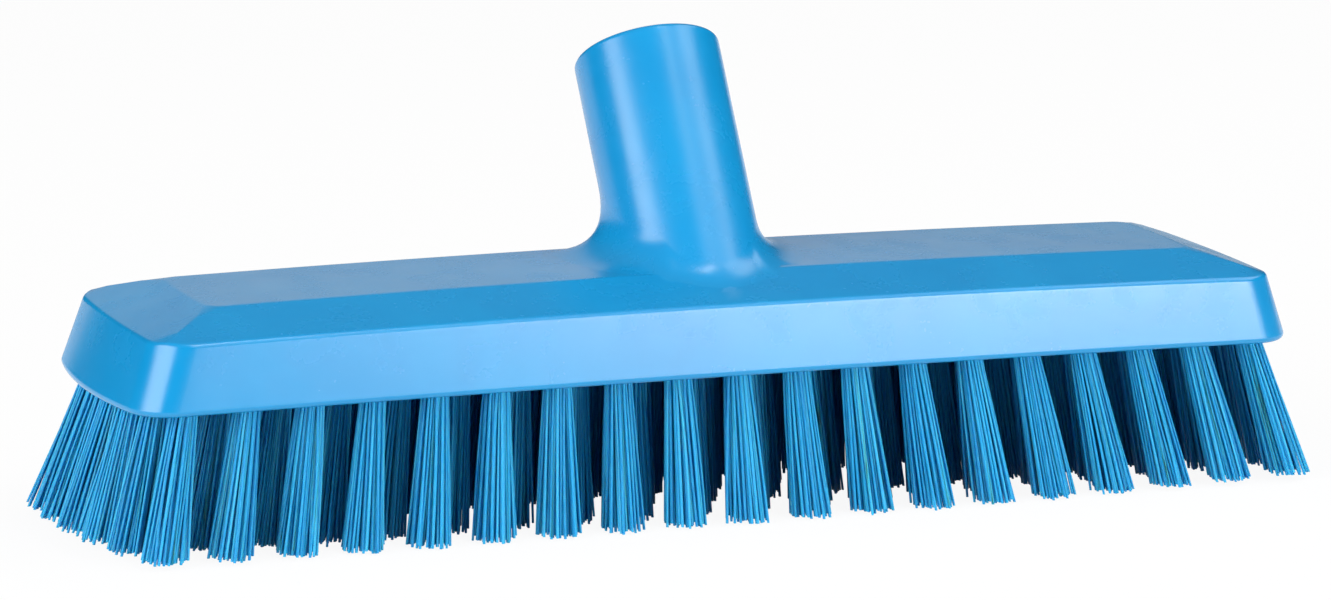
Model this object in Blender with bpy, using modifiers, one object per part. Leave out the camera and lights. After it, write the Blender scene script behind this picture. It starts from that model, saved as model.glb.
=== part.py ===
"""Deck brush head: a moulded polypropylene block with a slanted handle socket, and 117 tufts of stiff bristle.

X runs along the block, -Y is its front and +Z is up. The head stands on its bristle tips.
"""

import math
import random

import bmesh
import bpy
from mathutils import Vector

# Tufts: where their roots stand
ROWS = 6
TUFT_PITCH = 0.0135
STAGGERED_PITCH = 0.0129
ROOT_REACH = 0.1205
ROOT_ARC = 0.0030
ROW_DRIFT = 0.0016

# Tufts: their shape
PAD_THICKNESS = 0.0025
ROOT_RADIUS = 0.0030
TIP_RADIUS = 0.0050
ROOT_SLIT = 0.0003
TIP_SLIT = 0.0011
STRAND_SEAT = 0.0010
SPREAD_LENGTHWAYS = 0.0080
SPREAD_SIDEWAYS = 0.0014
TIP_DRIFT = 0.0029
BRISTLE_DROP = 0.0324
TIP_RISE = 0.0015
TIP_FLAT = 0.0005

# Tufts: how close the staggered rows nest, and the bare margins that the block leaves around them
ROW_NESTING = 0.0006
ROW_SPACING = 2 * TIP_RADIUS - ROW_NESTING
END_MARGIN = 0.0090
SIDE_MARGIN = 0.0075

# Block: outline at its bottom edge
CORNER_HALF_LENGTH = ROOT_REACH + END_MARGIN
BLOCK_WIDTH = (ROWS - 1) * ROW_SPACING + 2 * SIDE_MARGIN
END_BULGE = 0.0046
CORNER_RADIUS = 0.0092

# Block: ridge, where the side faces meet the four top slopes
RIDGE_HEIGHT = 0.0152
SIDE_DRAFT = 0.0012
END_DRAFT = 0.0035
RIDGE_BULGE = 0.0011
RIDGE_CORNER_RADIUS = 0.0085

# Block: flat plateau on top of the slopes
PLATEAU_RISE = 0.0044
PLATEAU_HALF_LENGTH = 0.1113
PLATEAU_WIDTH = 0.0314
PLATEAU_BULGE = 0.0008
PLATEAU_CORNER_RADIUS = 0.0036

# Block: shape along its length, rounded edges and the recess for the root strips
BOW = 0.0016
BOTTOM_BOW = 0.0008
EDGE_RADIUS = 0.0012
RIM_WALL = 0.0018
RECESS_CLEARANCE = 0.0003

# Handle socket, which leans back
SOCKET_DIAMETER = 0.0316
SOCKET_LEAN = math.radians(33.1)
SOCKET_AXIS_Y = 0.0
SOCKET_LENGTH = 0.0476
RIM_RADIUS = 0.0012
FOOT_FILLET = 0.0120
FOOT_REACH = 0.0150
FOOT_MARGIN = 0.0020
FOOT_TAPER = 0.0047

# Threaded bore of the socket
BORE_DIAMETER = 0.0220
BORE_DEPTH = 0.0440
THREAD_DEPTH = 0.0013
THREAD_PITCH = 0.0050
THREAD_TURNS = 5
GROOVE_MOUTH = 0.0032
GROOVE_FLOOR = 0.0014
LEAD_IN_DEPTH = 0.0025

# Numbers of facets
LENGTH_STATIONS = 6
CORNER_STEPS = 4
END_STEPS = 6
SOCKET_SIDES = 40
FILLET_STEPS = 4
RIM_STEPS = 2
THREAD_STEPS = 20

# How far one shape runs past another that it cuts or joins
PAST = 0.0020

BLOCK_BLUE = (0.110, 0.560, 0.855)
BRISTLE_BLUE = (0.085, 0.500, 0.800)

ROW_NAMES = ("front_row", "second_row", "third_row", "fourth_row", "fifth_row", "back_row")


def clear_scene():
    for obj in list(bpy.data.objects):
        bpy.data.objects.remove(obj, do_unlink=True)


def new_collection(name):
    collection = bpy.data.collections.new(name)
    bpy.context.scene.collection.children.link(collection)
    return collection


def linear(value):
    """One sRGB channel, 0 to 1, as the linear value that a shader takes."""
    if value <= 0.04045:
        return value / 12.92
    return ((value + 0.055) / 1.055) ** 2.4


def plastic(name, colour, roughness):
    material = bpy.data.materials.new(name)
    material.use_nodes = True
    shader = material.node_tree.nodes["Principled BSDF"]
    shader.inputs["Base Color"].default_value = [linear(c) for c in colour] + [1.0]
    shader.inputs["Metallic"].default_value = 0.0
    shader.inputs["Roughness"].default_value = roughness
    return material


def add_object(name, bm, collection, frame):
    """A new object with this mesh, carried by the frame empty."""
    mesh = bpy.data.meshes.new(name)
    bm.to_mesh(mesh)
    bm.free()
    obj = bpy.data.objects.new(name, mesh)
    collection.objects.link(obj)
    obj.parent = frame
    return obj


def make_helper(obj):
    obj.hide_render = True
    obj.display_type = "WIRE"
    return obj


def combine(obj, helper, operation):
    modifier = obj.modifiers.new(f"{operation.title()} {helper.name}", "BOOLEAN")
    modifier.operation = operation
    modifier.solver = "EXACT"
    modifier.object = helper
    return modifier


def smooth(obj, angle=math.radians(35)):
    obj.data.shade_smooth()
    obj.data.set_sharp_from_angle(angle=angle)


def bow(x, depth):
    """How much lower a level of the block lies at x than at its middle."""
    return depth * (x / CORNER_HALF_LENGTH) ** 2


def arc(centre, radius, start, end, steps):
    """Points on an arc, both ends included."""
    angles = [start + (end - start) * i / steps for i in range(steps + 1)]
    return [(centre[0] + radius * math.cos(a), centre[1] + radius * math.sin(a)) for a in angles]


def outline(half_length, bulge, half_width, radius):
    """The half of a block outline at x >= 0, from the middle of the front side round to the middle of the back side.

    The end is an arc through the two corners that stands out by bulge, and the corners are rounded into it.
    """
    end_radius = (half_width**2 + bulge**2) / (2 * bulge)
    end_x = half_length + bulge - end_radius
    corner_y = half_width - radius
    corner_x = end_x + math.sqrt((end_radius - radius) ** 2 - corner_y**2)
    meet = math.atan2(corner_y, corner_x - end_x)
    front = [(corner_x * i / LENGTH_STATIONS, -half_width) for i in range(LENGTH_STATIONS)]
    corner = arc((corner_x, -corner_y), radius, -math.pi / 2, -meet, CORNER_STEPS)
    end = arc((end_x, 0.0), end_radius, -meet, meet, END_STEPS)
    half = front + corner + end[1 : END_STEPS // 2 + 1]
    back = [(x, -y) for x, y in half[-2::-1]]
    return half + back


def at_height(points, height, depth):
    """A ring of the block, bowed along its length."""
    return [Vector((x, y, height - bow(x, depth))) for x, y in points]


def add_wall(bm, lower, upper, closed=False):
    """Quads between two rows of vertices."""
    count = len(lower)
    for i in range(count if closed else count - 1):
        j = (i + 1) % count
        bm.faces.new((lower[i], lower[j], upper[j], upper[i]))


def add_strips(bm, row, facing_up):
    """Closes a half outline with strips that join each front vertex to its partner at the back."""
    last = len(row) - 1
    for i in range(last // 2):
        strip = [row[i + 1], row[i], row[last - i]]
        if i + 1 < last - i - 1:
            strip.append(row[last - i - 1])
        bm.faces.new(strip[::-1] if facing_up else strip)


def half_solid(rings):
    """The half of a solid at x >= 0 through these half rings, from the lowest up, left open at the mirror plane."""
    bm = bmesh.new()
    rows = [[bm.verts.new(point) for point in ring] for ring in rings]
    for lower, upper in zip(rows, rows[1:]):
        add_wall(bm, lower, upper)
    add_strips(bm, rows[0], facing_up=False)
    add_strips(bm, rows[-1], facing_up=True)
    return bm


def mirror(obj):
    modifier = obj.modifiers.new("Mirror", "MIRROR")
    modifier.use_axis = (True, False, False)
    modifier.merge_threshold = 0.00001
    return modifier


def block_half_width():
    return BLOCK_WIDTH / 2


def recess_outline(gap):
    """The bottom outline drawn in by the rim wall and a gap."""
    inset = RIM_WALL + gap
    half_length = CORNER_HALF_LENGTH - inset
    return outline(half_length, END_BULGE, block_half_width() - inset, CORNER_RADIUS - inset)


def make_block_body(parts, frame):
    """The drafted sides, the four slopes and the plateau."""
    half_width = block_half_width()
    bottom = outline(CORNER_HALF_LENGTH, END_BULGE, half_width, CORNER_RADIUS)
    ridge_half_length = CORNER_HALF_LENGTH - END_DRAFT
    ridge = outline(ridge_half_length, RIDGE_BULGE, half_width - SIDE_DRAFT, RIDGE_CORNER_RADIUS)
    plateau = outline(PLATEAU_HALF_LENGTH, PLATEAU_BULGE, PLATEAU_WIDTH / 2, PLATEAU_CORNER_RADIUS)
    rings = [
        at_height(bottom, 0.0, BOTTOM_BOW),
        at_height(ridge, RIDGE_HEIGHT, BOW),
        at_height(plateau, RIDGE_HEIGHT + PLATEAU_RISE, BOW),
    ]
    block = add_object("brush_block", half_solid(rings), parts, frame)
    mirror(block)
    bevel = block.modifiers.new("Moulded edges", "BEVEL")
    bevel.width = EDGE_RADIUS
    bevel.segments = 2
    bevel.limit_method = "ANGLE"
    bevel.angle_limit = math.radians(30)
    return block


def make_recess_cutter(cutters, frame):
    """The shallow recess in the underside that holds the root strips."""
    shape = recess_outline(0.0)
    roof = PAD_THICKNESS + RECESS_CLEARANCE
    rings = [at_height(shape, -PAST, BOTTOM_BOW), at_height(shape, roof, BOTTOM_BOW)]
    cutter = add_object("root_recess_cutter", half_solid(rings), cutters, frame)
    mirror(cutter)
    return make_helper(cutter)


def block_top(x, y):
    """Height of the plateau and of the front and back slopes at x and y."""
    half_width = block_half_width() - SIDE_DRAFT
    plateau_height = RIDGE_HEIGHT + PLATEAU_RISE - bow(x, BOW)
    edge = PLATEAU_WIDTH / 2
    if abs(y) <= edge:
        return plateau_height
    return plateau_height - PLATEAU_RISE * (abs(y) - edge) / (half_width - edge)


def socket_axis():
    """The point where the socket's axis crosses the plateau's height, and the axis' direction."""
    base = Vector((0.0, SOCKET_AXIS_Y, RIDGE_HEIGHT + PLATEAU_RISE))
    return base, Vector((0.0, math.sin(SOCKET_LEAN), math.cos(SOCKET_LEAN)))


def socket_spokes():
    """Unit vectors square to the socket's axis, one for each side of the socket."""
    forward = Vector((0.0, -math.cos(SOCKET_LEAN), math.sin(SOCKET_LEAN)))
    turns = [2 * math.pi * i / SOCKET_SIDES for i in range(SOCKET_SIDES)]
    return [Vector((math.cos(t), 0.0, 0.0)) + forward * math.sin(t) for t in turns]


def socket_foot(spoke):
    """Where the socket wall at this spoke meets the block's upper faces."""
    base, axis = socket_axis()
    start = base + spoke * SOCKET_DIAMETER / 2
    low, high = -SOCKET_LENGTH, SOCKET_LENGTH
    for _ in range(40):
        middle = (low + high) / 2
        point = start + axis * middle
        if point.z > block_top(point.x, point.y):
            high = middle
        else:
            low = middle
    return start + axis * high


def foot_fillet(spoke):
    """The points of the concave blend from the socket wall down on to the block, at this spoke."""
    _, axis = socket_axis()
    foot = socket_foot(spoke)
    out = Vector((spoke.x, spoke.y / math.cos(SOCKET_LEAN) ** 2, 0.0)).normalized()
    step = out * PAST / 2
    rise = block_top(foot.x + step.x, foot.y + step.y) - block_top(foot.x, foot.y)
    along = (step + Vector((0.0, 0.0, rise))).normalized()
    opening = axis.angle(along)
    room = (block_half_width() - SIDE_DRAFT - FOOT_MARGIN - abs(foot.y)) / max(abs(out.y), 0.1)
    reach = min(FOOT_FILLET / math.tan(opening / 2), FOOT_REACH, room)
    top = foot + axis * reach
    end = foot + out * reach
    end.z = block_top(end.x, end.y)
    points = []
    for i in range(FILLET_STEPS + 1):
        t = i / FILLET_STEPS
        points.append(top * (1 - t) ** 2 + foot * 2 * t * (1 - t) + end * t**2)
    buried = end + out * EDGE_RADIUS / 3
    buried.z = block_top(buried.x, buried.y) - EDGE_RADIUS / 4
    root = foot - Vector((FOOT_TAPER * spoke.x, 0.0, 0.0))
    root.z = RIDGE_HEIGHT / 2
    return points + [buried, root]


def make_socket_body(cutters, frame):
    """The socket's outer shape, from its rounded rim down to the blend that flows into the block."""
    base, axis = socket_axis()
    radius = SOCKET_DIAMETER / 2
    rim = []
    for i in range(RIM_STEPS + 1):
        turn = math.pi / 2 * i / RIM_STEPS
        out = radius - RIM_RADIUS + RIM_RADIUS * math.sin(turn)
        up = SOCKET_LENGTH - RIM_RADIUS + RIM_RADIUS * math.cos(turn)
        rim.append((out, up))
    bm = bmesh.new()
    columns = []
    for spoke in socket_spokes():
        column = [base + spoke * out + axis * up for out, up in rim] + foot_fillet(spoke)
        columns.append([bm.verts.new(point) for point in column])
    rings = list(zip(*columns))
    for upper, lower in zip(rings, rings[1:]):
        add_wall(bm, upper, lower, closed=True)
    bm.faces.new(rings[0][::-1])
    bm.faces.new(rings[-1])
    bmesh.ops.recalc_face_normals(bm, faces=bm.faces)
    return make_helper(add_object("socket_body", bm, cutters, frame))


def turned_cutter(name, profile, cutters, frame):
    """A profile turned about the socket's axis, its heights counted from the rim."""
    bm = bmesh.new()
    points = [bm.verts.new((radius, 0.0, height)) for radius, height in profile]
    for upper, lower in zip(points, points[1:]):
        bm.edges.new((upper, lower))
    cutter = add_object(name, bm, cutters, frame)
    base, axis = socket_axis()
    cutter.location = base + axis * SOCKET_LENGTH
    cutter.rotation_euler = (-SOCKET_LEAN, 0.0, 0.0)
    screw = cutter.modifiers.new("Turn", "SCREW")
    screw.steps = SOCKET_SIDES
    screw.render_steps = SOCKET_SIDES
    screw.use_merge_vertices = True
    screw.merge_threshold = 0.00001
    return make_helper(cutter)


def make_bore_cutter(cutters, frame):
    """The bore of the handle socket, with a wider lead-in at its mouth."""
    radius = BORE_DIAMETER / 2
    mouth = radius + THREAD_DEPTH + RECESS_CLEARANCE
    profile = [
        (0.0, PAST),
        (mouth, PAST),
        (mouth, -LEAD_IN_DEPTH),
        (radius, -LEAD_IN_DEPTH - THREAD_DEPTH),
        (radius, -BORE_DEPTH),
        (0.0, -BORE_DEPTH),
    ]
    return turned_cutter("bore_cutter", profile, cutters, frame)


def make_thread_cutter(cutters, frame):
    """The groove of the coarse moulded thread, a tapered section wound down the bore from its lead-in."""
    inner = BORE_DIAMETER / 2 - THREAD_DEPTH / 2
    outer = BORE_DIAMETER / 2 + THREAD_DEPTH
    mouth = GROOVE_MOUTH / 2
    floor = GROOVE_FLOOR / 2
    bm = bmesh.new()
    steps = THREAD_TURNS * THREAD_STEPS
    rings = []
    for i in range(steps + 1):
        turn = 2 * math.pi * i / THREAD_STEPS
        drop = -LEAD_IN_DEPTH / 2 - THREAD_PITCH * i / THREAD_STEPS
        section = [
            (inner, drop + mouth),
            (outer, drop + floor),
            (outer, drop - floor),
            (inner, drop - mouth),
        ]
        ring = [(r * math.cos(turn), r * math.sin(turn), z) for r, z in section]
        rings.append([bm.verts.new(point) for point in ring])
    for first, second in zip(rings, rings[1:]):
        add_wall(bm, first, second, closed=True)
    bm.faces.new(rings[0][::-1])
    bm.faces.new(rings[-1])
    bmesh.ops.recalc_face_normals(bm, faces=bm.faces)
    cutter = add_object("thread_cutter", bm, cutters, frame)
    base, axis = socket_axis()
    cutter.location = base + axis * SOCKET_LENGTH
    cutter.rotation_euler = (-SOCKET_LEAN, 0.0, 0.0)
    return make_helper(cutter)


def make_block(parts, cutters, frame):
    """The whole block moulding: body, socket, threaded bore and root recess."""
    block = make_block_body(parts, frame)
    combine(block, make_socket_body(cutters, frame), "UNION")
    combine(block, make_bore_cutter(cutters, frame), "DIFFERENCE")
    combine(block, make_thread_cutter(cutters, frame), "DIFFERENCE")
    combine(block, make_recess_cutter(cutters, frame), "DIFFERENCE")
    smooth(block)
    block.data.materials.append(plastic("moulded_polypropylene", BLOCK_BLUE, 0.32))
    return block


def row_y(row):
    return (row - (ROWS - 1) / 2) * ROW_SPACING


def root_positions(row):
    """The x of each tuft in a row, from left to right.

    Every second row has a tuft more, which staggers it against its neighbours, and the ends follow the block's arc.
    """
    y = row_y(row)
    end = ROOT_REACH + ROOT_ARC * (1 - (y / row_y(0)) ** 2)
    steps = round(2 * end / (STAGGERED_PITCH if row % 2 else TUFT_PITCH))
    drift = ROW_DRIFT * y / row_y(0)
    return [end * (2 * i / steps - 1) + drift for i in range(steps + 1)]


def tuft_groups(count):
    """Neighbouring tufts taken two by two, and three in the middle where their number is odd."""
    sizes = [2] * (count // 2)
    if count % 2:
        sizes[len(sizes) // 2] = 3
    starts = [sum(sizes[:i]) for i in range(len(sizes))]
    return [range(start, start + size) for start, size in zip(starts, sizes)]


def tip_height(x):
    """Height of the trimmed tips: flat along the middle, where the brush stands, and higher towards the ends."""
    reach = CORNER_HALF_LENGTH
    return -BRISTLE_DROP + max(0.0, TIP_RISE * (x / reach) ** 2 - TIP_FLAT)


def strand_section(radius, slit, turn):
    """One quarter of a tuft's octagon, as a four-sided kite that leaves half a slit on each side."""
    half = slit / 2
    diagonal = radius * math.sqrt(0.5)
    kite = ((half, half), (radius, half), (diagonal, diagonal), (half, radius))
    cos, sin = math.cos(turn), math.sin(turn)
    return [(x * cos - y * sin, x * sin + y * cos) for x, y in kite]


def tip_of(root):
    """Where a tuft's trimmed tip stands: further out than its root, and drifted to the right in the front rows."""
    x, y = root
    along = x + SPREAD_LENGTHWAYS * x / ROOT_REACH
    across = y + SPREAD_SIDEWAYS * y / abs(row_y(0))
    return along + TIP_DRIFT * y / row_y(0), across


def add_strand(bm, root, tip, root_z, turn):
    """One stiff strand from its root in the strip down to its trimmed tip."""
    low = []
    for x, y in strand_section(TIP_RADIUS, TIP_SLIT, turn):
        at = tip[0] + x
        low.append(bm.verts.new((at, tip[1] + y, tip_height(at))))
    high = [
        bm.verts.new((root[0] + x, root[1] + y, root_z))
        for x, y in strand_section(ROOT_RADIUS, ROOT_SLIT, turn)
    ]
    add_wall(bm, low, high, closed=True)
    bm.faces.new(low[::-1])
    bm.faces.new(high)


def make_strands(name, roots, tips, turns, cutters, frame):
    """Four strands for each tuft of a group."""
    bm = bmesh.new()
    for root, tip, turn in zip(roots, tips, turns):
        root_z = STRAND_SEAT - bow(root[0], BOTTOM_BOW)
        for quarter in range(4):
            add_strand(bm, root, tip, root_z, turn + quarter * math.pi / 2)
    return make_helper(add_object(f"{name}_strands", bm, cutters, frame))


def trim(bm, point, normal):
    """Cuts off what lies past a plane and closes the cut."""
    everything = bm.verts[:] + bm.edges[:] + bm.faces[:]
    cut = bmesh.ops.bisect_plane(
        bm, geom=everything, plane_co=point, plane_no=normal, clear_outer=True
    )
    edges = [e for e in cut["geom_cut"] if isinstance(e, bmesh.types.BMEdge)]
    bmesh.ops.holes_fill(bm, edges=edges)


def make_strip(name, low, high, parts, frame):
    """The slice of backing between two corners, cut from one plate that fills the block's recess."""
    points = recess_outline(RECESS_CLEARANCE)
    ring = points[:-1] + [(-x, y) for x, y in points[:0:-1]]
    bm = bmesh.new()
    floor = [bm.verts.new((x, y, 0.0)) for x, y in ring]
    roof = [bm.verts.new((x, y, PAD_THICKNESS)) for x, y in ring]
    add_wall(bm, floor, roof, closed=True)
    bm.faces.new(floor[::-1])
    bm.faces.new(roof)
    trim(bm, (low[0], 0.0, 0.0), (-1.0, 0.0, 0.0))
    trim(bm, (high[0], 0.0, 0.0), (1.0, 0.0, 0.0))
    trim(bm, (0.0, low[1], 0.0), (0.0, -1.0, 0.0))
    trim(bm, (0.0, high[1], 0.0), (0.0, 1.0, 0.0))
    left, right = min(v.co.x for v in bm.verts), max(v.co.x for v in bm.verts)
    for v in bm.verts:
        part = (v.co.x - left) / (right - left)
        v.co.z -= bow(left, BOTTOM_BOW) * (1 - part) + bow(right, BOTTOM_BOW) * part
    return add_object(name, bm, parts, frame)


def strip_edges(values, index, outer):
    """The two borders of a strip: half way to its neighbours, less half a clearance, or the plate's own edge."""
    half_gap = RECESS_CLEARANCE / 2
    first, last = index[0], index[-1]
    low = -outer if first == 0 else (values[first - 1] + values[first]) / 2 + half_gap
    high = outer if last == len(values) - 1 else (values[last] + values[last + 1]) / 2 - half_gap
    return low, high


def make_row(row, dice, parts, cutters, frame):
    """The tufts of one row, as groups of neighbours that share a root strip."""
    y = row_y(row)
    rows = [row_y(i) for i in range(ROWS)]
    xs = root_positions(row)
    turns = [dice.uniform(0.0, math.pi / 2) for _ in xs]
    low_y, high_y = strip_edges(rows, [row], BLOCK_WIDTH)
    filaments = plastic(f"{ROW_NAMES[row]}_bristle_fibre", BRISTLE_BLUE, 0.38)
    for number, group in enumerate(tuft_groups(len(xs)), start=1):
        name = f"{ROW_NAMES[row]}_tufts_{number:02d}"
        low_x, high_x = strip_edges(xs, group, CORNER_HALF_LENGTH * 2)
        strip = make_strip(name, (low_x, low_y), (high_x, high_y), parts, frame)
        roots = [(xs[i], y) for i in group]
        tips = [tip_of(root) for root in roots]
        strands = make_strands(name, roots, tips, [turns[i] for i in group], cutters, frame)
        combine(strip, strands, "UNION")
        strip.data.materials.append(filaments)


def stand_on_floor(frame, parts):
    """Moves the whole head so that the origin is under the middle of its bounding box, at the bristle tips."""
    bpy.context.view_layer.update()
    graph = bpy.context.evaluated_depsgraph_get()
    corners = []
    for obj in parts.objects:
        evaluated = obj.evaluated_get(graph)
        corners += [obj.matrix_world @ Vector(corner) for corner in evaluated.bound_box]
    xs = [corner.x for corner in corners]
    ys = [corner.y for corner in corners]
    lowest = min(corner.z for corner in corners)
    frame.location = (-(min(xs) + max(xs)) / 2, -(min(ys) + max(ys)) / 2, -lowest)


def main():
    clear_scene()
    parts = new_collection("deck_brush")
    cutters = new_collection("cutters")
    frame = bpy.data.objects.new("brush_frame", None)
    parts.objects.link(frame)
    dice = random.Random(7)
    make_block(parts, cutters, frame)
    for row in range(ROWS):
        make_row(row, dice, parts, cutters, frame)
    stand_on_floor(frame, parts)


main()
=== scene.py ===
"""The deck brush head, dressed: a fine moulded block with its threaded socket, and tufts of single filaments.

Lengths are in metres. The block is built in its own frame, whose zero is the middle of its underside.
"""

import math
import random

import bmesh
import bpy
from mathutils import Matrix, Vector


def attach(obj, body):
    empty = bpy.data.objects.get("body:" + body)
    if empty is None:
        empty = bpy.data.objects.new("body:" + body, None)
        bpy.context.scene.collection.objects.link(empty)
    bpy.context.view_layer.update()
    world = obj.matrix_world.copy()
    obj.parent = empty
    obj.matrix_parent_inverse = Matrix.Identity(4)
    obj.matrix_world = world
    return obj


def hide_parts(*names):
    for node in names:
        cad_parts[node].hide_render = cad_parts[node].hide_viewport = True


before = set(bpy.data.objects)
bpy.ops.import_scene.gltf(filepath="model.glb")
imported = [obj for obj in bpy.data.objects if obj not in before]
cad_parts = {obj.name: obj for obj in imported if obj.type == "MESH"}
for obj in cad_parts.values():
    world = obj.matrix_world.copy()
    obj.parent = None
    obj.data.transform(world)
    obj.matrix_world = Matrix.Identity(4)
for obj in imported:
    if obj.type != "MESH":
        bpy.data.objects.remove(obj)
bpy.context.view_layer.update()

# Where the block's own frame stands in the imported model, on its bristle tips
BLOCK_PLACE = Vector((0.000114, -0.003884, 0.0324))

# Block, as in the CAD model
CORNER_HALF_LENGTH = 0.1295
HALF_WIDTH = 0.0310
END_BULGE = 0.0046
CORNER_RADIUS = 0.0092
RIDGE_HEIGHT = 0.0152
SIDE_DRAFT = 0.0012
END_DRAFT = 0.0035
RIDGE_BULGE = 0.0011
RIDGE_CORNER_RADIUS = 0.0085
PLATEAU_RISE = 0.0044
PLATEAU_HALF_LENGTH = 0.1113
PLATEAU_WIDTH = 0.0314
PLATEAU_BULGE = 0.0008
PLATEAU_CORNER_RADIUS = 0.0036
BOW = 0.0016
BOTTOM_BOW = 0.0008
EDGE_RADIUS = 0.0012
PLATEAU_EDGE_RADIUS = 0.0025
MITRE_RADIUS = 0.0006
SLOPE_SHARES = (0.35, 0.75)
SHARP_ANGLE = math.radians(20)

# Handle socket, as in the CAD model
SOCKET_RADIUS = 0.0158
SOCKET_LEAN = math.radians(33.1)
SOCKET_LENGTH = 0.0476
RIM_RADIUS = 0.0012
FOOT_FILLET = 0.0120
FOOT_REACH = 0.0150
FOOT_MARGIN = 0.0020
FOOT_TAPER = 0.0047
FOOT_SINK = 0.00004
LEAST_SIDEWAYS = 0.1
BORE_RADIUS = 0.0110
BORE_DEPTH = 0.0440
THREAD_DEPTH = 0.0013
THREAD_PITCH = 0.0050
THREAD_TURNS = 5
GROOVE_MOUTH = 0.0032
GROOVE_FLOOR = 0.0014
LEAD_IN_DEPTH = 0.0025
LEAD_IN_STEP = 0.0016
MOUTH_CHAMFER = 0.0006
FLOOR_CHAMFER = 0.0010

# Tufts, as in the CAD model
ROW_SPACING = 0.0094
ROWS = 6
TUFT_PITCH = 0.0135
STAGGERED_PITCH = 0.0129
ROOT_REACH = 0.1205
ROOT_ARC = 0.0030
ROW_DRIFT = 0.0016
SPREAD_LENGTHWAYS = 0.0080
SPREAD_SIDEWAYS = 0.0014
TIP_DRIFT = 0.0029
BRISTLE_DROP = 0.0324
TIP_RISE = 0.0015
TIP_FLAT = 0.0005
ROOT_RADIUS = 0.0029
TIP_RADIUS = 0.0047

# Filaments: their number and size, and how far each one strays from an even bundle
SEED = 11
FILAMENTS = 72
FILAMENT_RADIUS = 0.00030
FILAMENT_THICKNESS = (0.9, 1.08)
FILAMENT_SIDES = 6
FILAMENT_STEPS = 5
FILAMENT_SHARP_ANGLE = math.radians(65)
FILAMENT_ROOT = 0.0016
SWAY = 0.00022
GOLDEN_SHARE = 3 - math.sqrt(5)
TUFT_SWIRL = 0.12
TUFT_SIZE = (0.93, 1.04)
TURN_SPREAD = 0.10
REACH_SPREAD = 0.05
TRIM_SPREAD = 0.00045
STRAY_SHARE = 0.02
STRAY_REACH = (1.2, 1.7)
TIP_LIMIT = 0.1378

# Holes in the underside that the tufts stand in
HOLE_RADIUS = 0.0031
HOLE_DEPTH = 0.0030
HOLE_SINK = 0.0004

# Numbers of facets, and small turns that keep facets of one shape off those of another
LENGTH_STATIONS = 36
CORNER_STEPS = 12
END_STEPS = 24
SOCKET_SIDES = 120
FILLET_STEPS = 14
RIM_STEPS = 6
THREAD_STEPS = 48
THREAD_TURN = 0.013
HOLE_SIDES = 20
HOLE_TURN = 0.07
EDGE_STEPS = 6
HALVINGS = 40

# How far a cutting shape passes the surface that it cuts
PAST = 0.0020

# Sizes of the patterns in the materials
DYE_CLOUD = 0.035
SATIN_PATCH = 0.009
WAVE_LENGTH = 0.0035
WAVE_DEPTH = 0.000003
GRAIN_SIZE = 0.0006
GRAIN_DEPTH = 0.0000012
STREAK_WIDTH = 0.0003
STREAK_LENGTH = 0.006

# Studio floor: half its width, how far it lies below the tips, and how it looks to the camera
FLOOR_HALF_WIDTH = 3.0
FLOOR_DROP = 0.0002
PAPER_GREY = 0.80
PAPER_GLOW = 1.03
GLOW_SHARE = 0.90

# Photograph's viewpoint
CAMERA_LENS = 147.54
CAMERA_PLACE = Vector((-0.4411055, -1.0514193, 0.2770218))
CAMERA_AHEAD = Vector((0.37649343, 0.90410334, -0.20211343))
CAMERA_RIGHT = Vector((0.92461964, -0.38030251, 0.02117845))
CAMERA_REACH = 20.0

# Soft boxes: how far they stand from the brush, and the height that they aim at
LAMP_DISTANCE = 1.8
LAMP_AIM = 0.05

ROW_NAMES = ("front_row", "second_row", "third_row", "fourth_row", "fifth_row", "back_row")


# ---------------------------------------------------------------- colours and materials


def hex_colour(code):
    """A colour written as sRGB hex, as the linear values that a shader takes."""
    channels = [int(code[i : i + 2], 16) / 255 for i in (0, 2, 4)]
    return tuple(c / 12.92 if c <= 0.04045 else ((c + 0.055) / 1.055) ** 2.4 for c in channels) + (1.0,)


def add_node(tree, kind, settings=None, inputs=None, links=None):
    """Adds one node with its settings, its input values and the links into it."""
    node = tree.nodes.new(kind)
    for name, value in (settings or {}).items():
        setattr(node, name, value)
    for name, value in (inputs or {}).items():
        node.inputs[name].default_value = value
    for name, (source, output) in (links or {}).items():
        tree.links.new(source.outputs[output], node.inputs[name])
    return node


def set_ramp(node, stops):
    """Gives a colour ramp these stops, each a place and a linear colour."""
    ramp = node.color_ramp
    while len(ramp.elements) < len(stops):
        ramp.elements.new(0.5)
    for element, (place, colour) in zip(ramp.elements, stops):
        element.position = place
        element.color = colour


def new_material(name, **shader_values):
    """A material with one Principled shader, whose constants stand on its own sockets."""
    material = bpy.data.materials.new(name)
    material.use_nodes = True
    tree = material.node_tree
    shader = tree.nodes["Principled BSDF"]
    for socket, value in shader_values.items():
        shader.inputs[socket.replace("_", " ")].default_value = value
    return material, tree, shader


def grey(value):
    """A linear grey."""
    return (value, value, value, 1.0)


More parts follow.
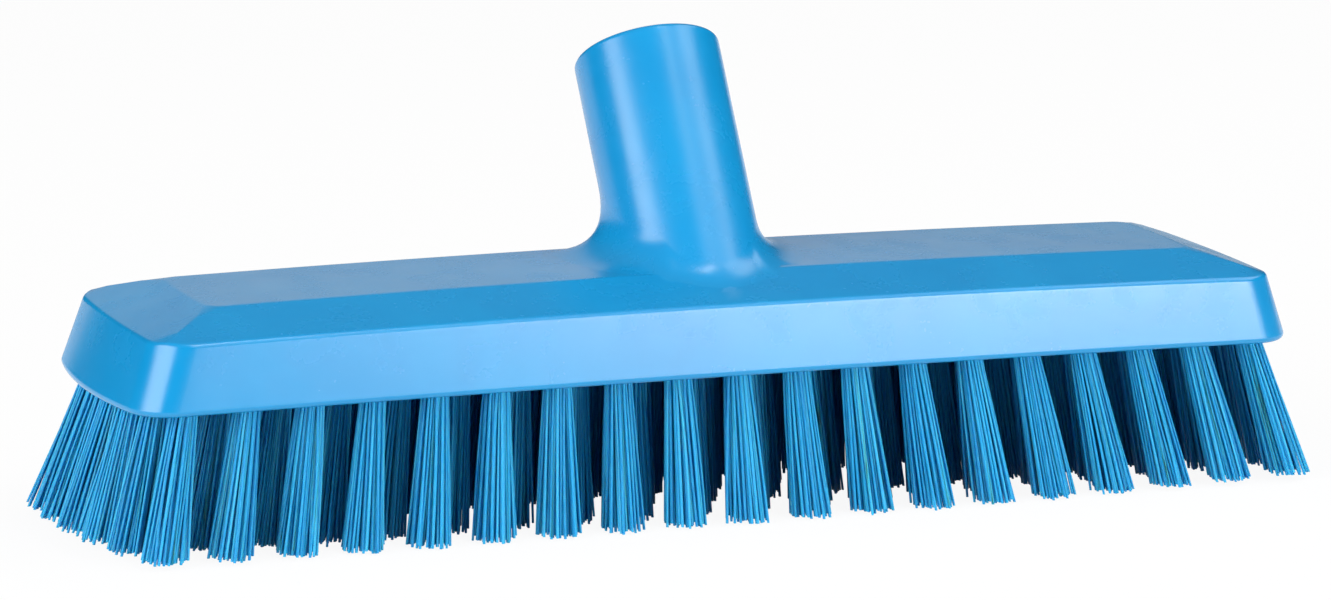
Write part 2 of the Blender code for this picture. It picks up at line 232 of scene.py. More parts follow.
def moulded_polypropylene():
    """Dyed polypropylene, injection moulded in a polished tool.

    It shows an even, saturated blue with a soft satin gloss, faint cloudy flow in the dye, convex edges painted a
    little paler as a painted highlight and rubbed smoother, and a very fine waviness that softens each reflection.
    """
    material, tree, shader = new_material("moulded_polypropylene", IOR=1.57, Metallic=0.0)
    place = add_node(tree, "ShaderNodeTexCoord")
    flow = add_node(
        tree,
        "ShaderNodeTexNoise",
        inputs={"Scale": 1 / DYE_CLOUD, "Detail": 3.0, "Roughness": 0.55, "Distortion": 0.6},
        links={"Vector": (place, "Object")},
    )
    dye = add_node(tree, "ShaderNodeValToRGB", links={"Fac": (flow, "Fac")})
    set_ramp(dye, [(0.30, hex_colour("068BC7")), (0.70, hex_colour("0C94CF"))])
    geometry = add_node(tree, "ShaderNodeNewGeometry")
    # Painted highlight: convex edges, found by pointiness, are painted paler towards a pale blue. The colour stands
    # in for the shine of light along the edges.
    painted_edge_highlight = add_node(tree, "ShaderNodeValToRGB", links={"Fac": (geometry, "Pointiness")})
    set_ramp(painted_edge_highlight, [(0.52, grey(0.0)), (0.60, grey(0.22))])
    colour = add_node(
        tree,
        "ShaderNodeMix",
        settings={"data_type": "RGBA"},
        inputs={"B": hex_colour("6DB6E8")},
        links={"A": (dye, "Color"), "Factor": (painted_edge_highlight, "Color")},
    )
    tree.links.new(colour.outputs["Result"], shader.inputs["Base Color"])
    satin = add_node(
        tree,
        "ShaderNodeTexNoise",
        inputs={"Scale": 1 / SATIN_PATCH, "Detail": 4.0, "Roughness": 0.6},
        links={"Vector": (place, "Object")},
    )
    rough = add_node(
        tree,
        "ShaderNodeMapRange",
        inputs={"From Min": 0.3, "From Max": 0.7, "To Min": 0.23, "To Max": 0.30},
        links={"Value": (satin, "Fac")},
    )
    polished = add_node(
        tree,
        "ShaderNodeMapRange",
        inputs={"From Min": 0.51, "From Max": 0.55, "To Min": 1.0, "To Max": 0.45},
        links={"Value": (geometry, "Pointiness")},
    )
    rubbed = add_node(
        tree,
        "ShaderNodeMath",
        settings={"operation": "MULTIPLY"},
        links={0: (rough, "Result"), 1: (polished, "Result")},
    )
    tree.links.new(rubbed.outputs["Value"], shader.inputs["Roughness"])
    ripple = add_node(
        tree,
        "ShaderNodeTexNoise",
        inputs={"Scale": 1 / WAVE_LENGTH, "Detail": 2.0, "Roughness": 0.5},
        links={"Vector": (place, "Object")},
    )
    grain = add_node(
        tree,
        "ShaderNodeTexNoise",
        inputs={"Scale": 1 / GRAIN_SIZE, "Detail": 2.0},
        links={"Vector": (place, "Object")},
    )
    waves = add_node(
        tree,
        "ShaderNodeBump",
        inputs={"Strength": 0.25, "Distance": WAVE_DEPTH},
        links={"Height": (ripple, "Fac")},
    )
    bump = add_node(
        tree,
        "ShaderNodeBump",
        inputs={"Strength": 0.2, "Distance": GRAIN_DEPTH},
        links={"Height": (grain, "Fac"), "Normal": (waves, "Normal")},
    )
    tree.links.new(bump.outputs["Normal"], shader.inputs["Normal"])
    return material


def drawn_filament():
    """Straight polyester monofilament, drawn through a die and cut blunt.

    Each filament takes the dye a little differently and lets some light through, and has the satin shine of drawn
    plastic with faint streaks along it.
    """
    material, tree, shader = new_material(
        "drawn_polyester_filament",
        IOR=1.52,
        Metallic=0.0,
        Specular_IOR_Level=0.25,
        Subsurface_Weight=1.0,
        Subsurface_Radius=(0.3, 0.8, 1.0),
        Subsurface_Scale=2 * FILAMENT_RADIUS,
    )
    shader.subsurface_method = "RANDOM_WALK"
    geometry = add_node(tree, "ShaderNodeNewGeometry")
    dye = add_node(tree, "ShaderNodeValToRGB", links={"Fac": (geometry, "Random Per Island")})
    set_ramp(
        dye,
        [
            (0.0, hex_colour("0C8CC2")),
            (0.35, hex_colour("169BCF")),
            (0.75, hex_colour("24A7D9")),
            (1.0, hex_colour("46B8E2")),
        ],
    )
    place = add_node(tree, "ShaderNodeTexCoord")
    stretch = add_node(
        tree,
        "ShaderNodeMapping",
        inputs={"Scale": (1 / STREAK_WIDTH, 1 / STREAK_WIDTH, 1 / STREAK_LENGTH)},
        links={"Vector": (place, "Object")},
    )
    streak = add_node(
        tree,
        "ShaderNodeTexNoise",
        inputs={"Scale": 1.0, "Detail": 2.0},
        links={"Vector": (stretch, "Vector")},
    )
    strength = add_node(
        tree,
        "ShaderNodeMapRange",
        inputs={"From Min": 0.35, "From Max": 0.65, "To Min": 0.0, "To Max": 0.35},
        links={"Value": (streak, "Fac")},
    )
    colour = add_node(
        tree,
        "ShaderNodeMix",
        settings={"data_type": "RGBA"},
        inputs={"B": hex_colour("54BEE4")},
        links={"A": (dye, "Color"), "Factor": (strength, "Result")},
    )
    tree.links.new(colour.outputs["Result"], shader.inputs["Base Color"])
    rough = add_node(
        tree,
        "ShaderNodeMapRange",
        inputs={"From Min": 0.3, "From Max": 0.7, "To Min": 0.38, "To Max": 0.52},
        links={"Value": (streak, "Fac")},
    )
    tree.links.new(rough.outputs["Result"], shader.inputs["Roughness"])
    return material


# ---------------------------------------------------------------- meshes


def bow(x, depth):
    """How much lower a level of the block lies at x than at its middle."""
    return depth * (x / CORNER_HALF_LENGTH) ** 2


def arc(centre, radius, start, end, steps):
    """Points along an arc, its two ends among them."""
    angles = [start + (end - start) * i / steps for i in range(steps + 1)]
    return [(centre[0] + radius * math.cos(a), centre[1] + radius * math.sin(a)) for a in angles]


def outline(half_length, bulge, half_width, radius):
    """A whole block outline: bulged ends, rounded corners and straight sides."""
    end_radius = (half_width**2 + bulge**2) / (2 * bulge)
    end_x = half_length + bulge - end_radius
    corner_y = half_width - radius
    corner_x = end_x + math.sqrt((end_radius - radius) ** 2 - corner_y**2)
    meet = math.atan2(corner_y, corner_x - end_x)
    front = [(corner_x * i / LENGTH_STATIONS, -half_width) for i in range(LENGTH_STATIONS)]
    corner = arc((corner_x, -corner_y), radius, -math.pi / 2, -meet, CORNER_STEPS)
    end = arc((end_x, 0.0), end_radius, -meet, meet, END_STEPS)
    half = front + corner + end[1 : END_STEPS // 2 + 1]
    right = half + [(x, -y) for x, y in half[-2::-1]]
    left = [(-x, y) for x, y in right[-2:0:-1]]
    return right + left


def at_height(points, height, depth):
    """An outline laid at one level of the block, which follows the bow."""
    return [Vector((x, y, height - bow(x, depth))) for x, y in points]


def add_wall(bm, lower, upper, closed=True):
    """Quads between two rows of vertices."""
    count = len(lower)
    for i in range(count if closed else count - 1):
        j = (i + 1) % count
        bm.faces.new((lower[i], lower[j], upper[j], upper[i]))


def add_cap(bm, ring, facing_up):
    """Closes a block ring with strips across its width, so that the cap keeps the bow."""
    half = len(ring) // 2
    for side in (ring[: half + 1], ring[half:] + [ring[0]]):
        for i in range(half // 2):
            strip = [side[i + 1], side[i], side[half - i]]
            if i + 1 < half - i - 1:
                strip.append(side[half - i - 1])
            bm.faces.new(strip[::-1] if facing_up else strip)


def add_mesh_object(name, bm):
    """Turns a finished bmesh into an object of the scene, with its faces outward."""
    bmesh.ops.recalc_face_normals(bm, faces=bm.faces)
    mesh = bpy.data.meshes.new(name)
    bm.to_mesh(mesh)
    bm.free()
    obj = bpy.data.objects.new(name, mesh)
    bpy.context.scene.collection.objects.link(obj)
    return obj


def mitred_slopes(share, radius):
    """A ring part of the way up the four slopes, which meet in crisp mitres: 0 is the ridge and 1 the plateau."""
    half_length = CORNER_HALF_LENGTH - END_DRAFT
    half_width = HALF_WIDTH - SIDE_DRAFT
    ring = outline(
        half_length + (PLATEAU_HALF_LENGTH - half_length) * share,
        RIDGE_BULGE + (PLATEAU_BULGE - RIDGE_BULGE) * share,
        half_width + (PLATEAU_WIDTH / 2 - half_width) * share,
        radius,
    )
    return [Vector((x, y, slope_top(x, y))) for x, y in ring]


def slope_top(x, y):
    """Height of the four slopes, each a flat face that follows the bow."""
    half_width = HALF_WIDTH - SIDE_DRAFT
    bulge = 1 - (y / half_width) ** 2
    inner = PLATEAU_HALF_LENGTH + PLATEAU_BULGE * bulge
    outer = CORNER_HALF_LENGTH - END_DRAFT + RIDGE_BULGE * bulge
    across = (abs(y) - PLATEAU_WIDTH / 2) / (half_width - PLATEAU_WIDTH / 2)
    along = (abs(x) - inner) / (outer - inner)
    return RIDGE_HEIGHT + PLATEAU_RISE * (1 - min(max(across, along), 1.0)) - bow(x, BOW)


def rounded_edge(before, corner, after, radius):
    """The arc that rounds one edge of the block, between the walls before and after it."""
    back, on = (before - corner).normalized(), (after - corner).normalized()
    half_turn = (math.pi - back.angle(on)) / 2
    centre = corner + (back + on).normalized() * radius / math.cos(half_turn)
    start = corner + back * radius * math.tan(half_turn) - centre
    end = corner + on * radius * math.tan(half_turn) - centre
    arc_points = [start.normalized().slerp(end.normalized(), i / EDGE_STEPS) for i in range(EDGE_STEPS + 1)]
    return [centre + point * radius for point in arc_points]


def block_body():
    """The drafted sides, the four slopes and the plateau, with their edges rounded."""
    inset = 3 * EDGE_RADIUS
    under = at_height(
        outline(CORNER_HALF_LENGTH - inset, END_BULGE, HALF_WIDTH - inset, CORNER_RADIUS - inset),
        0.0,
        BOTTOM_BOW,
    )
    bottom = at_height(outline(CORNER_HALF_LENGTH, END_BULGE, HALF_WIDTH, CORNER_RADIUS), 0.0, BOTTOM_BOW)
    ridge = mitred_slopes(0.0, RIDGE_CORNER_RADIUS)
    for point in ridge:
        point.z = (point.z + RIDGE_HEIGHT - bow(point.x, BOW)) / 2
    low_slope, high_slope = (mitred_slopes(share, MITRE_RADIUS) for share in SLOPE_SHARES)
    plateau_height = RIDGE_HEIGHT + PLATEAU_RISE
    plateau = at_height(
        outline(PLATEAU_HALF_LENGTH, PLATEAU_BULGE, PLATEAU_WIDTH / 2, PLATEAU_CORNER_RADIUS),
        plateau_height,
        BOW,
    )
    inside = at_height(
        outline(PLATEAU_HALF_LENGTH - inset, PLATEAU_BULGE, PLATEAU_WIDTH / 2 - inset, EDGE_RADIUS),
        plateau_height,
        BOW,
    )
    columns = []
    for points in zip(under, bottom, ridge, low_slope, high_slope, plateau, inside):
        column = rounded_edge(*points[0:3], EDGE_RADIUS)
        column += rounded_edge(*points[1:4], EDGE_RADIUS)
        column += [points[3], points[4]]
        column += rounded_edge(*points[4:7], PLATEAU_EDGE_RADIUS)
        columns.append(column)
    bm = bmesh.new()
    rows = [[bm.verts.new(point) for point in ring] for ring in zip(*columns)]
    for lower, upper in zip(rows, rows[1:]):
        add_wall(bm, lower, upper)
    add_cap(bm, rows[0], facing_up=False)
    add_cap(bm, rows[-1], facing_up=True)
    return add_mesh_object("brush_block_moulding", bm)


def block_top(x, y):
    """Height of the plateau and of the front and back slopes at x and y."""
    half_width = HALF_WIDTH - SIDE_DRAFT
    plateau_height = RIDGE_HEIGHT + PLATEAU_RISE - bow(x, BOW)
    edge = PLATEAU_WIDTH / 2
    if abs(y) <= edge:
        return plateau_height
    return plateau_height - PLATEAU_RISE * (abs(y) - edge) / (half_width - edge)


def socket_axis():
    """Where the socket's axis crosses the plateau, and its direction."""
    base = Vector((0.0, 0.0, RIDGE_HEIGHT + PLATEAU_RISE))
    return base, Vector((0.0, math.sin(SOCKET_LEAN), math.cos(SOCKET_LEAN)))


def socket_spokes():
    """Directions from the socket's axis out to its wall, all the way round."""
    forward = Vector((0.0, -math.cos(SOCKET_LEAN), math.sin(SOCKET_LEAN)))
    turns = [2 * math.pi * i / SOCKET_SIDES for i in range(SOCKET_SIDES)]
    return [Vector((math.cos(t), 0.0, 0.0)) + forward * math.sin(t) for t in turns]


def socket_foot(spoke):
    """Where the socket wall at this spoke meets the block's upper faces."""
    base, axis = socket_axis()
    start = base + spoke * SOCKET_RADIUS
    low, high = -SOCKET_LENGTH, SOCKET_LENGTH
    for _ in range(HALVINGS):
        middle = (low + high) / 2
        point = start + axis * middle
        if point.z > block_top(point.x, point.y):
            high = middle
        else:
            low = middle
    return start + axis * high


def foot_fillet(spoke):
    """The points of the concave blend from the socket wall down on to the block, at this spoke."""
    _, axis = socket_axis()
    foot = socket_foot(spoke)
    out = Vector((spoke.x, spoke.y / math.cos(SOCKET_LEAN) ** 2, 0.0)).normalized()
    step = out * PAST / 2
    rise = block_top(foot.x + step.x, foot.y + step.y) - block_top(foot.x, foot.y)
    along = (step + Vector((0.0, 0.0, rise))).normalized()
    opening = axis.angle(along)
    room = (HALF_WIDTH - SIDE_DRAFT - FOOT_MARGIN - abs(foot.y)) / max(abs(out.y), LEAST_SIDEWAYS)
    reach = min(FOOT_FILLET / math.tan(opening / 2), FOOT_REACH, room)
    top = foot + axis * reach
    end = foot + out * reach
    end.z = block_top(end.x, end.y) - FOOT_SINK
    points = []
    for i in range(FILLET_STEPS + 1):
        t = i / FILLET_STEPS
        points.append(top * (1 - t) ** 2 + foot * 2 * t * (1 - t) + end * t**2)
    buried = end + out * EDGE_RADIUS
    buried.z = block_top(buried.x, buried.y) - 3 * FOOT_SINK
    root = foot - Vector((FOOT_TAPER * spoke.x, 0.0, 0.0))
    root.z = RIDGE_HEIGHT / 2
    return points + [buried, root]


def socket_body():
    """The socket's outer shape, from its rounded rim down to the blend that flows into the block."""
    base, axis = socket_axis()
    rim = []
    for i in range(RIM_STEPS + 1):
        turn = math.pi / 2 * i / RIM_STEPS
        out = SOCKET_RADIUS - RIM_RADIUS + RIM_RADIUS * math.sin(turn)
        up = SOCKET_LENGTH - RIM_RADIUS + RIM_RADIUS * math.cos(turn)
        rim.append((out, up))
    bm = bmesh.new()
    columns = []
    for spoke in socket_spokes():
        column = [base + spoke * out + axis * up for out, up in rim] + foot_fillet(spoke)
        columns.append([bm.verts.new(point) for point in column])
    rings = list(zip(*columns))
    for upper, lower in zip(rings, rings[1:]):
        add_wall(bm, upper, lower)
    bm.faces.new(rings[0][::-1])
    bm.faces.new(rings[-1])
    return add_mesh_object("socket_shape", bm)


def on_socket_axis(obj):
    """Stands an object, built with its zero at the rim, on the socket's axis."""
    base, axis = socket_axis()
    turn = Matrix.Rotation(-SOCKET_LEAN, 4, "X")
    obj.data.transform(Matrix.Translation(base + axis * SOCKET_LENGTH) @ turn)
    return obj


def bore_shape():
    """The bore with its wider lead-in, as a turned profile."""
    mouth = BORE_RADIUS + LEAD_IN_STEP
    profile = [
        (mouth + MOUTH_CHAMFER, PAST),
        (mouth + MOUTH_CHAMFER, 0.0),
        (mouth, -MOUTH_CHAMFER),
        (mouth, -LEAD_IN_DEPTH),
        (BORE_RADIUS, -LEAD_IN_DEPTH - THREAD_DEPTH),
        (BORE_RADIUS, -BORE_DEPTH + FLOOR_CHAMFER),
        (BORE_RADIUS - FLOOR_CHAMFER, -BORE_DEPTH),
    ]
    bm = bmesh.new()
    rings = []
    for radius, height in profile:
        turns = [2 * math.pi * i / SOCKET_SIDES for i in range(SOCKET_SIDES)]
        rings.append([bm.verts.new((radius * math.cos(t), radius * math.sin(t), height)) for t in turns])
    for upper, lower in zip(rings, rings[1:]):
        add_wall(bm, upper, lower)
    bm.faces.new(rings[0])
    bm.faces.new(rings[-1][::-1])
    return on_socket_axis(add_mesh_object("bore_shape", bm))


def thread_shape():
    """The groove of the coarse moulded thread, wound down the bore from its lead-in."""
    inner = BORE_RADIUS - THREAD_DEPTH / 2
    outer = BORE_RADIUS + THREAD_DEPTH
    bm = bmesh.new()
    rings = []
    for i in range(THREAD_TURNS * THREAD_STEPS + 1):
        turn = THREAD_TURN + 2 * math.pi * i / THREAD_STEPS
        drop = -LEAD_IN_DEPTH / 2 - THREAD_PITCH * i / THREAD_STEPS
        section = [
            (inner, drop + GROOVE_MOUTH / 2),
            (outer, drop + GROOVE_FLOOR / 2),
            (outer, drop - GROOVE_FLOOR / 2),
            (inner, drop - GROOVE_MOUTH / 2),
        ]
        rings.append([bm.verts.new((r * math.cos(turn), r * math.sin(turn), z)) for r, z in section])
    for first, second in zip(rings, rings[1:]):
        add_wall(bm, first, second)
    bm.faces.new(rings[0][::-1])
    bm.faces.new(rings[-1])
    return on_socket_axis(add_mesh_object("thread_shape", bm))


def row_y(row):
    """The y of a row of tufts, from the front row to the back one."""
    return (row - (ROWS - 1) / 2) * ROW_SPACING


def root_positions(row):
    """The x of each tuft in a row, from left to right."""
    y = row_y(row)
    end = ROOT_REACH + ROOT_ARC * (1 - (y / row_y(0)) ** 2)
    steps = round(2 * end / (STAGGERED_PITCH if row % 2 else TUFT_PITCH))
    drift = ROW_DRIFT * y / row_y(0)
    return [end * (2 * i / steps - 1) + drift for i in range(steps + 1)]


def hole_shapes():
    """The holes in the underside that the tufts stand in, each with a slightly sunk mouth."""
    bm = bmesh.new()
    profile = [
        (HOLE_RADIUS + 2 * HOLE_SINK, -HOLE_SINK),
        (HOLE_RADIUS, HOLE_SINK),
        (HOLE_RADIUS, HOLE_DEPTH),
    ]
    for row in range(ROWS):
        for x in root_positions(row):
            rings = []
            for radius, height in profile:
                points = arc((x, row_y(row)), radius, HOLE_TURN, HOLE_TURN + 2 * math.pi, HOLE_SIDES)[:-1]
                rings.append([bm.verts.new((px, py, height - bow(x, BOTTOM_BOW))) for px, py in points])
            for lower, upper in zip(rings, rings[1:]):
                add_wall(bm, lower, upper)
            bm.faces.new(rings[0][::-1])
            bm.faces.new(rings[-1])
    return add_mesh_object("hole_shapes", bm)


def combine(obj, helper, operation):
    """Joins a helper shape to an object, or cuts it out of it."""
    modifier = obj.modifiers.new(helper.name, "BOOLEAN")
    modifier.operation = operation
    modifier.solver = "EXACT"
    modifier.object = helper


def brush_block():
    """The whole block moulding, in one closed mesh."""
    block = block_body()
    helpers = [
        (socket_body(), "UNION"),
        (bore_shape(), "DIFFERENCE"),
        (thread_shape(), "DIFFERENCE"),
        (hole_shapes(), "DIFFERENCE"),
    ]
    for helper, operation in helpers:
        combine(block, helper, operation)
    bpy.context.view_layer.update()
    finished = bpy.data.meshes.new_from_object(block.evaluated_get(bpy.context.evaluated_depsgraph_get()))
    block.modifiers.clear()
    block.data = finished
    for helper, _ in helpers:
        bpy.data.objects.remove(helper, do_unlink=True)
    block.data.transform(Matrix.Translation(BLOCK_PLACE))
    block.data.shade_smooth()
    block.data.set_sharp_from_angle(angle=SHARP_ANGLE)
    weighted = block.modifiers.new("Flat faces stay flat", "WEIGHTED_NORMAL")
    weighted.keep_sharp = True
    weighted.mode = "FACE_AREA"
    return block


# ---------------------------------------------------------------- filaments


def tip_height(x):
    """Height of the trimmed tips: flat along the middle and a little higher towards the ends."""
    return -BRISTLE_DROP + max(0.0, TIP_RISE * (x / CORNER_HALF_LENGTH) ** 2 - TIP_FLAT)


def tip_of(x, y):
    """Where the middle of a tuft's tip stands, for a tuft rooted at x and y."""
    along = x + SPREAD_LENGTHWAYS * x / ROOT_REACH
    across = y + SPREAD_SIDEWAYS * y / abs(row_y(0))
    return along + TIP_DRIFT * y / row_y(0), across


def filament_line(root, tip, dice):
    """The centre line of one filament, from inside its hole to its cut tip, with a slight bend of its own."""
    sway = dice.gauss(0.0, SWAY)
    lean = dice.uniform(0.0, 2 * math.pi)
    side = Vector((math.cos(lean), math.sin(lean), 0.0)) * sway
    points = []
    for i in range(FILAMENT_STEPS + 1):
        t = i / FILAMENT_STEPS
        points.append(root.lerp(tip, t) + side * math.sin(math.pi * t))
    return points


def add_filament(verts, faces, line, radius, turn):
    """One round filament as a closed tube round its centre line."""
    start = len(verts)
    for point in line:
        for k in range(FILAMENT_SIDES):
            a = turn + 2 * math.pi * k / FILAMENT_SIDES
            verts.append((point.x + radius * math.cos(a), point.y + radius * math.sin(a), point.z))
    for i in range(len(line) - 1):
        for k in range(FILAMENT_SIDES):
            m = (k + 1) % FILAMENT_SIDES
            low, high = start + i * FILAMENT_SIDES, start + (i + 1) * FILAMENT_SIDES
            faces.append((low + k, high + k, high + m, low + m))
    last = start + (len(line) - 1) * FILAMENT_SIDES
    faces.append(tuple(range(start, start + FILAMENT_SIDES)))
    faces.append(tuple(range(last + FILAMENT_SIDES - 1, last - 1, -1)))


def add_tuft(verts, faces, x, y, dice):
    """A bundle of filaments that leaves its hole tightly packed and splays towards its trimmed tip."""
    tip_x, tip_y = tip_of(x, y)
    swirl = dice.uniform(-TUFT_SWIRL, TUFT_SWIRL)
    start = dice.uniform(0.0, 2 * math.pi)
    reach = TIP_RADIUS * dice.uniform(*TUFT_SIZE)
    for i in range(FILAMENTS):
        share = math.sqrt((i + 0.5) / FILAMENTS)
        angle = start + i * math.pi * GOLDEN_SHARE
        root = Vector((x, y, FILAMENT_ROOT - bow(x, BOTTOM_BOW)))
        root += Vector((math.cos(angle), math.sin(angle), 0.0)) * share * (ROOT_RADIUS - FILAMENT_RADIUS)
        spread = angle + swirl + dice.gauss(0.0, TURN_SPREAD)
        out = reach * share * (1 + dice.gauss(0.0, REACH_SPREAD))
        if dice.random() < STRAY_SHARE:
            out *= dice.uniform(*STRAY_REACH)
        tip = Vector((tip_x + math.cos(spread) * out, tip_y + math.sin(spread) * out, 0.0))
        tip.x = max(-TIP_LIMIT, min(TIP_LIMIT, tip.x))
        tip.z = tip_height(tip.x) + abs(dice.gauss(0.0, TRIM_SPREAD))
        line = filament_line(root, tip, dice)
        radius = FILAMENT_RADIUS * dice.uniform(*FILAMENT_THICKNESS)
        add_filament(verts, faces, line, radius, dice.uniform(0.0, 1.0))


def tuft_groups(count):
    """Neighbouring tufts taken two by two, and three in the middle where their number is odd."""
    sizes = [2] * (count // 2)
    if count % 2:
        sizes[len(sizes) // 2] = 3
    starts = [sum(sizes[:i]) for i in range(len(sizes))]
    return [range(start, start + size) for start, size in zip(starts, sizes)]


def tuft_piece(node, roots, material, dice):
    """The filaments of one node's tufts, as one piece."""
    verts, faces = [], []
    for x, y in roots:
        add_tuft(verts, faces, x, y, dice)
    mesh = bpy.data.meshes.new(f"{node}_filaments")
    mesh.from_pydata(verts, [], faces)
    mesh.transform(Matrix.Translation(BLOCK_PLACE))
    mesh.shade_smooth()
    mesh.set_sharp_from_angle(angle=FILAMENT_SHARP_ANGLE)
    mesh.materials.append(material)
    piece = bpy.data.objects.new(f"{node}_filaments", mesh)
    bpy.context.scene.collection.objects.link(piece)
    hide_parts(node)
    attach(piece, "root")
    return piece


def bristle_field(material):
    """All six rows, one piece for each node."""
    dice = random.Random(SEED)
    for row in range(ROWS):
        xs = root_positions(row)
        for number, group in enumerate(tuft_groups(len(xs)), start=1):
            node = f"{ROW_NAMES[row]}_tufts_{number:02d}"
            tuft_piece(node, [(xs[i], row_y(row)) for i in group], material, dice)


# ---------------------------------------------------------------- studio


def white_floor():
    """A matt white studio floor, which the camera sees as paper white with the brush's soft shadow on it."""
    mesh = bpy.data.meshes.new("studio_floor")
    corners = [(-1, -1), (1, -1), (1, 1), (-1, 1)]
    verts = [(x * FLOOR_HALF_WIDTH, y * FLOOR_HALF_WIDTH, 0.0) for x, y in corners]
    mesh.from_pydata(verts, [], [(0, 1, 2, 3)])
    floor = bpy.data.objects.new("studio_floor", mesh)
    floor.location.z = -FLOOR_DROP
    bpy.context.scene.collection.objects.link(floor)
    material = bpy.data.materials.new("matt_white_paper")
    material.use_nodes = True
    tree = material.node_tree
    tree.nodes.clear()
    paths = add_node(tree, "ShaderNodeLightPath")
    seen = add_node(
        tree,
        "ShaderNodeMath",
        settings={"operation": "MAXIMUM"},
        links={0: (paths, "Is Camera Ray"), 1: (paths, "Is Glossy Ray")},
    )
    seen = add_node(
        tree,
        "ShaderNodeMath",
        settings={"operation": "MAXIMUM"},
        links={0: (seen, "Value"), 1: (paths, "Is Transmission Ray")},
    )
    paper = add_node(tree, "ShaderNodeBsdfDiffuse", inputs={"Color": grey(PAPER_GREY)})
    glow = add_node(tree, "ShaderNodeEmission", inputs={"Color": grey(1.0), "Strength": PAPER_GLOW})
    share = add_node(
        tree,
        "ShaderNodeMath",
        settings={"operation": "MULTIPLY"},
        inputs={1: GLOW_SHARE},
        links={0: (seen, "Value")},
    )
    mix = add_node(
        tree,
        "ShaderNodeMixShader",
        links={"Fac": (share, "Value"), 1: (paper, "BSDF"), 2: (glow, "Emission")},
    )
    add_node(tree, "ShaderNodeOutputMaterial", links={"Surface": (mix, "Shader")})
    mesh.materials.append(material)


def facing(tree, direction, low, high, dark, bright):
    """How bright the room is in each direction: dark away from this one, bright toward it."""
    place = add_node(tree, "ShaderNodeTexCoord")
    toward = add_node(
        tree,
        "ShaderNodeVectorMath",
        settings={"operation": "DOT_PRODUCT"},
        inputs={1: direction},
        links={0: (place, "Generated")},
    )
    return add_node(
        tree,
        "ShaderNodeMapRange",
        settings={"interpolation_type": "SMOOTHSTEP"},
        inputs={"From Min": low, "From Max": high, "To Min": dark, "To Max": bright},
        links={"Value": (toward, "Value")},
    )


def studio_world():
    """White where the camera looks, a pale backdrop behind the brush, and a room that is brightest above."""
    world = bpy.data.worlds.new("studio")
    bpy.context.scene.world = world
    world.use_nodes = True
    tree = world.node_tree
    tree.nodes.clear()
    paths = add_node(tree, "ShaderNodeLightPath")
    room = facing(tree, (0.0, 0.0, 1.0), 0.30, 0.95, 0.03, 0.30)
    backdrop = facing(tree, (0.30, 0.91, 0.29), 0.94, 0.988, 0.0, 0.42)
    light = add_node(
        tree,
        "ShaderNodeMath",
        settings={"operation": "MAXIMUM"},
        links={0: (room, "Result"), 1: (backdrop, "Result")},
    )
    soft = add_node(
        tree,
        "ShaderNodeBackground",
        inputs={"Color": grey(1.0)},
        links={"Strength": (light, "Value")},
    )
    white = add_node(tree, "ShaderNodeBackground", inputs={"Color": grey(1.0), "Strength": 1.0})
    seen = add_node(
        tree,
        "ShaderNodeMath",
        settings={"operation": "MAXIMUM"},
        links={0: (paths, "Is Camera Ray"), 1: (paths, "Is Transmission Ray")},
    )
    mirrored = add_node(
        tree,
        "ShaderNodeMath",
        settings={"operation": "MULTIPLY"},
        links={0: (paths, "Is Glossy Ray"), 1: (backdrop, "Result")},
    )
    share = add_node(
        tree,
        "ShaderNodeMath",
        settings={"operation": "MAXIMUM"},
        links={0: (seen, "Value"), 1: (mirrored, "Value")},
    )
    mix = add_node(
        tree,
        "ShaderNodeMixShader",
        links={"Fac": (share, "Value"), 1: (soft, "Background"), 2: (white, "Background")},
    )
    add_node(tree, "ShaderNodeOutputWorld", links={"Surface": (mix, "Shader")})


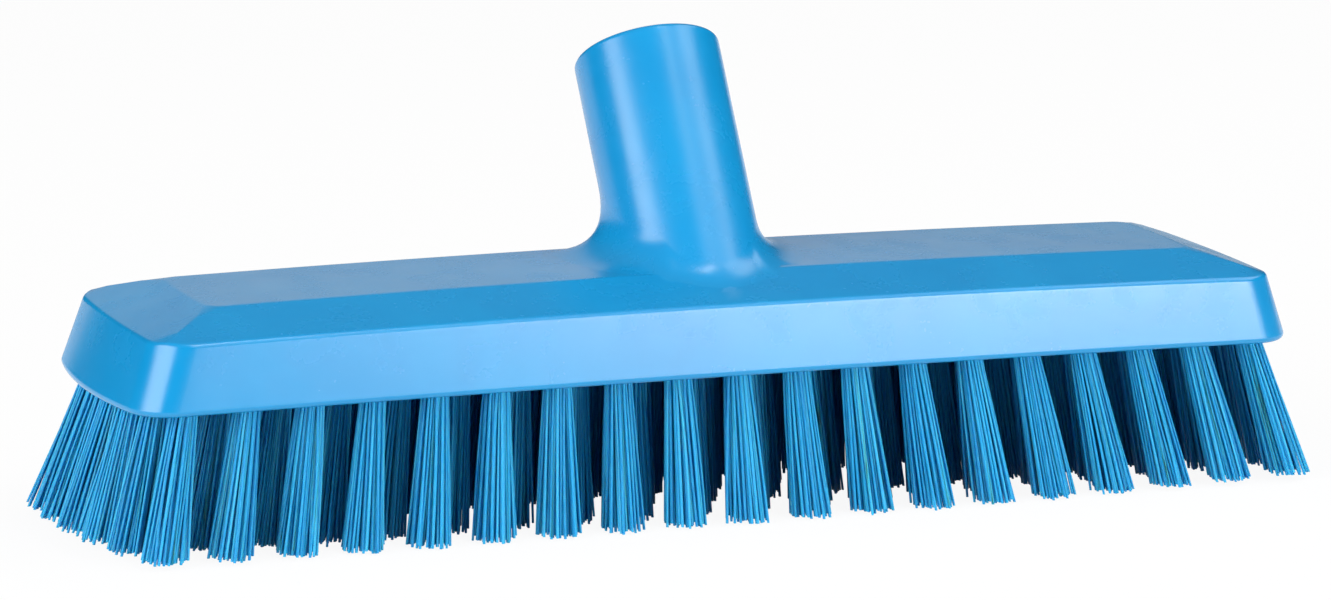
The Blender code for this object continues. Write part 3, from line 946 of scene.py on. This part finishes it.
def soft_box(name, sides, heights, radiance):
    """A soft box that fills these angles, in degrees from straight in front and from the floor, seen from the brush.

    Its power follows from its size, so that a reflection of it is as bright whatever angles it fills.
    """
    turn, rise = (math.radians(sum(angles) / 2) for angles in (sides, heights))
    width, height = (2 * LAMP_DISTANCE * math.tan(math.radians(high - low) / 2) for low, high in (sides, heights))
    width *= math.cos(rise)
    lamp = bpy.data.lights.new(name, "AREA")
    lamp.shape = "RECTANGLE"
    lamp.size = width
    lamp.size_y = height
    lamp.energy = radiance * math.pi * width * height
    away = Vector((math.cos(rise) * math.sin(turn), -math.cos(rise) * math.cos(turn), math.sin(rise)))
    obj = bpy.data.objects.new(name, lamp)
    obj.location = Vector((0.0, 0.0, LAMP_AIM)) + away * LAMP_DISTANCE
    obj.rotation_euler = (-away).to_track_quat("-Z", "Y").to_euler()
    obj.visible_camera = False
    bpy.context.scene.collection.objects.link(obj)


def studio_lights():
    """The boxes that the photograph's reflections tell of: two left, three in front, two right and one above."""
    soft_box("left_low_box", (-90, -41), (-1, 16), 5.4)
    soft_box("left_high_box", (-101, -44), (16, 34), 5.3)
    soft_box("front_low_box", (18, 35), (-1.5, 4), 28.5)
    soft_box("front_middle_box", (17, 36), (6, 14), 11.8)
    soft_box("front_high_box", (0, 60), (28, 56), 1.3)
    soft_box("right_low_box", (34, 46), (-1, 9), 7.6)
    soft_box("right_high_box", (54, 108), (36, 60), 2.6)
    soft_box("top_box", (14, 32), (58, 78), 11.0)


def camera():
    """The photograph's viewpoint."""
    data = bpy.data.cameras.new("photo_camera")
    data.lens = CAMERA_LENS
    data.sensor_width = 36.0
    data.clip_end = CAMERA_REACH
    obj = bpy.data.objects.new("photo_camera", data)
    ahead = CAMERA_AHEAD.normalized()
    right = CAMERA_RIGHT.normalized()
    up = right.cross(ahead)
    turn = Matrix((right, up, -ahead)).transposed()
    obj.matrix_world = Matrix.Translation(CAMERA_PLACE) @ turn.to_4x4()
    bpy.context.scene.collection.objects.link(obj)
    bpy.context.scene.camera = obj


# ---------------------------------------------------------------- the whole scene

bpy.context.scene.view_settings.view_transform = "Standard"

block = brush_block()
block.data.materials.clear()
block.data.materials.append(moulded_polypropylene())
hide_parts("brush_block")
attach(block, "root")

bristle_field(drawn_filament())

white_floor()
studio_world()
studio_lights()
camera()

bpy.context.view_layer.update()
